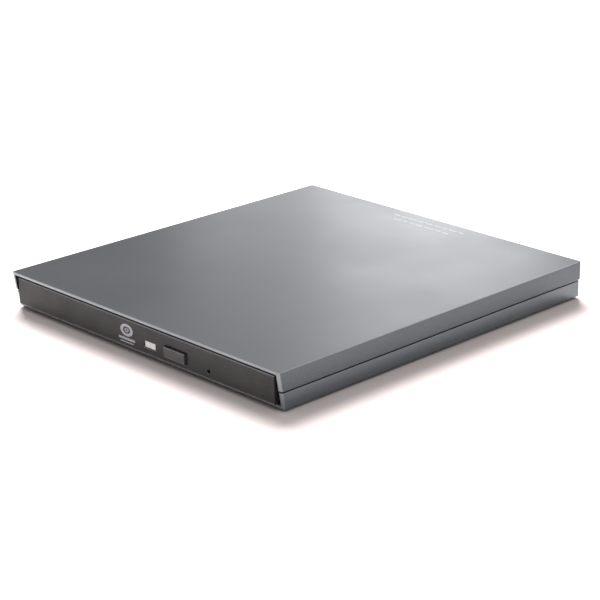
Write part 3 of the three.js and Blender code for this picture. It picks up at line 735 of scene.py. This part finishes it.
def screw_thread():
    """The helical ridge of the lead screw."""
    pitch, outer, inner = 3.0, 1.02, 0.86
    foot_half, crest_half = 0.55, 0.2
    along, last = 13.0, 55.0
    across, axis_z = 17.5, 5.5
    steps_per_turn = 20
    ridge = ((inner, -foot_half), (outer, -crest_half), (outer, crest_half), (inner, foot_half))
    total = round((last - along) / pitch * steps_per_turn)
    mesh = bmesh.new()
    grid = []
    for step in range(total + 1):
        angle = 2 * math.pi * step / steps_per_turn
        u = along + pitch * step / steps_per_turn
        row = []
        for radius, shift in ridge:
            row.append(mesh.verts.new(on_track(u + shift, across + radius * math.cos(angle),
                                               axis_z + radius * math.sin(angle))))
        grid.append(row)
    for row, after in zip(grid, grid[1:]):
        for step in range(len(ridge) - 1):
            mesh.faces.new((row[step], row[step + 1], after[step + 1], after[step]))
    piece("lead_screw_thread", mesh, "bright_steel", "lead_screw")


def cover_plate_screws():
    """Pan-head screws at the four corners of the traverse's cover plate."""
    head = [(0, 8.66), (1.15, 8.66), (1.15, 8.8), (0.9, 8.93), (0.5, 8.95), (0.42, 8.78), (0, 8.74)]
    sides = 32
    mesh = bmesh.new()
    for along, across in ((-11.4, -11.4), (-11.4, 11.4), (61.9, -12), (61.9, 12)):
        add_turned(mesh, head, on_track(along, across, 0), sides)
    piece("cover_plate_screws", mesh, "bright_steel", "tray")


def board_parts():
    """Small parts soldered under the tray's board: bodies with tinned ends, and chip legs."""
    first_x, column_spacing, first_behind, row_spacing, last_behind = 33.5, 7.5, 30, 7.4, 96
    body_bevel, end_bevel, end_wide, end_overlap, end_low = 0.05, 0.03, 0.3, 0.05, 0.02
    legs, first_leg, leg_spacing, leg_wide, leg_long, leg_tall = 14, 0.6, 0.83, 0.35, 1.0, 0.3
    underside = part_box("main_board")[0].z
    bodies, ends = bmesh.new(), bmesh.new()
    for row in range(9):
        for column in range(3):
            x = first_x + column_spacing * column + DRAWS.uniform(-0.5, 0.5)
            behind = first_behind + row_spacing * row + DRAWS.uniform(-1, 1)
            under_chip = 29 < x < 47 and 54 < behind < 74
            if under_chip or behind > last_behind:
                continue
            long, wide, tall = DRAWS.choice(((2.0, 1.2, 0.6), (1.6, 0.8, 0.45), (3.2, 1.6, 0.9)))
            low, high = at(x, behind, 0), at(x + long, behind + wide, 0)
            low.z, high.z = underside - tall * MM, underside
            add_block(bodies, low, high, body_bevel)
            for edge in (low.x - (end_wide - end_overlap) * MM, high.x - end_overlap * MM):
                add_block(ends, Vector((edge, low.y, low.z - end_low * MM)),
                          Vector((edge + end_wide * MM, high.y, high.z)), end_bevel)
    low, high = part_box("controller_chip")
    for leg in range(legs):
        y = low.y + first_leg * MM + leg * leg_spacing * MM
        for x, out in ((low.x, -1), (high.x, 1)):
            left, right = sorted((x, x + out * leg_long * MM))
            add_block(ends, Vector((left, y, underside - leg_tall * MM)),
                      Vector((right, y + leg_wide * MM, underside)))
    piece("board_parts", bodies, "chip_epoxy", "tray")
    piece("board_terminals", ends, "bright_steel", "tray")


def socket_contacts():
    """Five gold contacts on the tongue inside the USB socket."""
    contacts, spacing, half_wide, bevel = 5, 0.75, 0.17, 0.02
    bottom, top, inner_end, outer_end = 7.28, 7.36, 6.5, 1.1
    low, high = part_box("usb_socket")
    middle = (low.x + high.x) / 2
    mesh = bmesh.new()
    for number in range(contacts):
        x = middle + (number - contacts // 2) * spacing * MM
        add_block(mesh, Vector((x - half_wide * MM, high.y - inner_end * MM, bottom * MM)),
                  Vector((x + half_wide * MM, high.y - outer_end * MM, top * MM)), bevel)
    piece("socket_contacts", mesh, "gold", "chassis")


def details():
    """The pieces that are added to the CAD frame, or stand for its plain ones."""
    button()
    pictogram()
    lid_dashes()
    foot_pads()
    bottom_label()
    ribbon_cable()
    lens_and_ring()
    screw_thread()
    cover_plate_screws()
    board_parts()
    socket_contacts()


# ---------------------------------------------------------------- stage

def camera():
    """The photo's view: the case from its front right, slightly above."""
    azimuth, elevation = math.radians(CAMERA_AZIMUTH), math.radians(CAMERA_ELEVATION)
    back = Vector((math.sin(azimuth) * math.cos(elevation), -math.cos(azimuth) * math.cos(elevation),
                   math.sin(elevation)))
    data = bpy.data.cameras.new("camera")
    data.lens = CAMERA_LENS
    data.sensor_width = SENSOR_WIDTH
    data.clip_start = 0.01
    made = bpy.data.objects.new("camera", data)
    bpy.context.scene.collection.objects.link(made)
    made.location = CAMERA_TARGET + back * CAMERA_DISTANCE
    made.rotation_mode = "QUATERNION"
    roll = Quaternion((0, 0, 1), math.radians(CAMERA_ROLL))
    made.rotation_quaternion = (-back).to_track_quat("-Z", "Y") @ roll
    bpy.context.scene.camera = made


def floor():
    """A pale floor, slightly warm, as the photo's shadow is."""
    half = 4.0
    corners = [(-half, -half, 0), (half, -half, 0), (half, half, 0), (-half, half, 0)]
    mesh = bpy.data.meshes.new("floor")
    mesh.from_pydata(corners, [], [(0, 1, 2, 3)])
    made = bpy.data.objects.new("floor", mesh)
    bpy.context.scene.collection.objects.link(made)
    surface = Finish("floor", Roughness=0.9, Specular_IOR_Level=0.1)
    surface.colour(surface.noise(0.5), (0.3, (0.88, 0.81, 0.795, 1)), (0.7, (0.9, 0.83, 0.815, 1)))
    mesh.materials.append(surface.material)


def softbox(name, place, size, watts, aim=(0, 0, 0)):
    """A rectangular light at a place in metres, turned towards aim, that the camera doesn't see."""
    data = bpy.data.lights.new(name, "AREA")
    data.shape = "RECTANGLE"
    data.size, data.size_y = size
    data.energy = watts
    made = bpy.data.objects.new(name, data)
    bpy.context.scene.collection.objects.link(made)
    made.location = place
    made.rotation_euler = (Vector(aim) - Vector(place)).to_track_quat("-Z", "Y").to_euler()
    made.visible_camera = False
    return made


def sky():
    """A dim horizon band below a bright overhead dome."""
    world = bpy.data.worlds.new("studio")
    bpy.context.scene.world = world
    world.use_nodes = True
    nodes, links = world.node_tree.nodes, world.node_tree.links
    place = nodes.new("ShaderNodeTexCoord")
    split = nodes.new("ShaderNodeSeparateXYZ")
    ramp = nodes.new("ShaderNodeValToRGB")
    elements = ramp.color_ramp.elements
    elements[0].position, elements[0].color = 0.3, (0.2, 0.197, 0.195, 1)
    elements[1].position, elements[1].color = 0.8, (1.0, 0.97, 0.96, 1)
    links.new(place.outputs["Generated"], split.inputs[0])
    links.new(split.outputs["Z"], ramp.inputs["Fac"])
    links.new(ramp.outputs["Color"], nodes["Background"].inputs["Color"])
    nodes["Background"].inputs["Strength"].default_value = 0.72


def studio():
    """The camera, the floor and the lights."""
    camera()
    floor()
    sky()
    key = softbox("key", (-0.7, 0.5, 0.8), (0.75, 0.75), 36)
    key.visible_glossy = False
    # Two cards behind the case give its lid a soft reflection that fades out towards the front
    for name, place, size, watts in (
            ("wide card", (-0.2943, 0.3284, 0.075), (0.2, 0.15), 0.155),
            ("tall card", (-0.2524, 0.3714, 0.12), (0.14, 0.24), 0.215)):
        softbox(name, place, size, watts, aim=(0.05, 0, place[2])).visible_diffuse = False
    # Two above them pick out the bevels along the right and front edges
    for name, place, watts in (
            ("right edge card", (-0.175, 0.49, 0.54), 0.9),
            ("front edge card", (-0.505, 0.166, 0.53), 0.35)):
        softbox(name, place, (0.3, 0.3), watts).visible_diffuse = False
    bpy.context.scene.view_settings.view_transform = "Standard"


studio()
dress_cad_nodes()
details()
